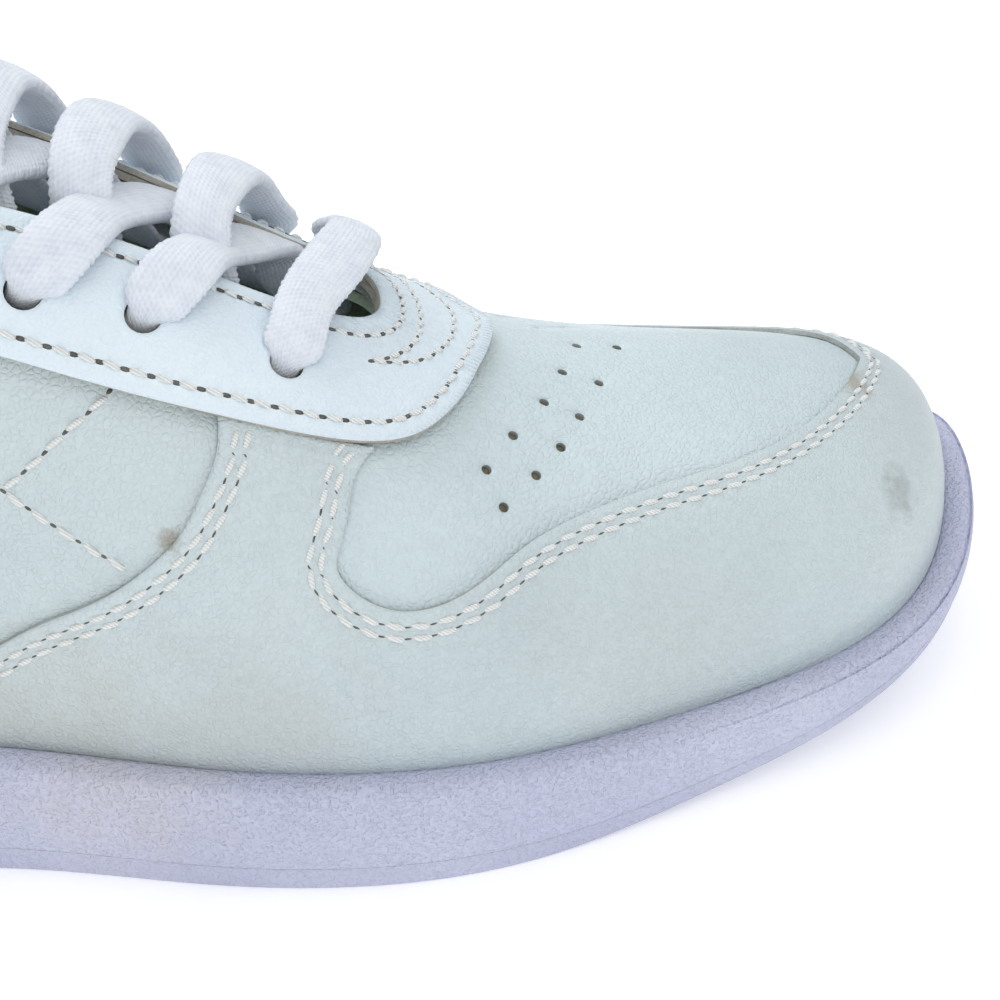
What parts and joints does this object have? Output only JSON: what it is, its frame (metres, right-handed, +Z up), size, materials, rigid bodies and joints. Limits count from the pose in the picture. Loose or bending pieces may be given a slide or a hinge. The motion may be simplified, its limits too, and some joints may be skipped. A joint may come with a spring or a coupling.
{
  "type": "cheer shoe",
  "caption": "Low-cut white leather cheer shoe with a perforated vamp, mudguard, laced eyestay, padded collar, fold-forward tongue top and a foam cup sole.",
  "frame": {"origin": "on the floor under the middle of the sole", "axes": "+X towards the toe, +Y towards the inner (medial) side, +Z up"},
  "size_m": [0.2728, 0.0946, 0.117],
  "materials": {
    "leather": "white pebbled coated leather",
    "sole_foam": "matt textured foam sidewall",
    "sole_rubber": "matt moulded rubber",
    "insole_board": "fibre board",
    "insole_foam": "knit over foam",
    "backing": "raw edge of backing leather",
    "stiffener": "thermoplastic sheet",
    "lining": "pale green knitted lining",
    "foam": "tan open-cell foam",
    "collar_fabric": "soft white lining",
    "lace": "flat woven polyester braid",
    "aglet": "clear film tube"
  },
  "bodies": {
    "shoe": {"aglet_lateral": "aglet", "aglet_medial": "aglet", "bow_knot": "lace", "bow_loop_lateral": "lace", "bow_loop_medial": "lace", "collar_foam": "foam", "collar_lining": "collar_fabric", "eyestay": "leather", "eyestay_backing": "backing", "heel_counter": "stiffener", "heel_patch": "leather", "insole": "insole_foam", "lace_bar": "lace", "lace_lead_lateral": "lace", "lace_lead_medial": "lace", "lace_run_1_lateral": "lace", "lace_run_1_medial": "lace", "lace_run_2_lateral": "lace", "lace_run_2_medial": "lace", "lace_run_3_lateral": "lace", "lace_run_3_medial": "lace", "lace_run_4_lateral": "lace", "lace_run_4_medial": "lace", "lace_tail_lateral": "lace", "lace_tail_medial": "lace", "lasting_board": "insole_board", "midsole": "sole_foam", "mudguard": "leather", "outsole": "sole_rubber", "quarter_lateral": "leather", "quarter_lining_lateral": "lining", "quarter_lining_medial": "lining", "quarter_medial": "leather", "toe_puff": "stiffener", "tongue_face": "leather", "tongue_foam": "foam", "tongue_lining": "lining", "vamp": "leather", "vamp_lining": "lining"},
    "tongue_top": {"tongue_flap_face": "leather", "tongue_flap_foam": "foam", "tongue_flap_lining": "lining"}
  },
  "joints": [
    {"name": "tongue_fold", "type": "hinge", "parent": "shoe", "child": "tongue_top", "pos_m": [-0.054, 0.0025, 0.1008], "axis": [0, 1, 0], "range_deg": [0, 30]}
  ]
}
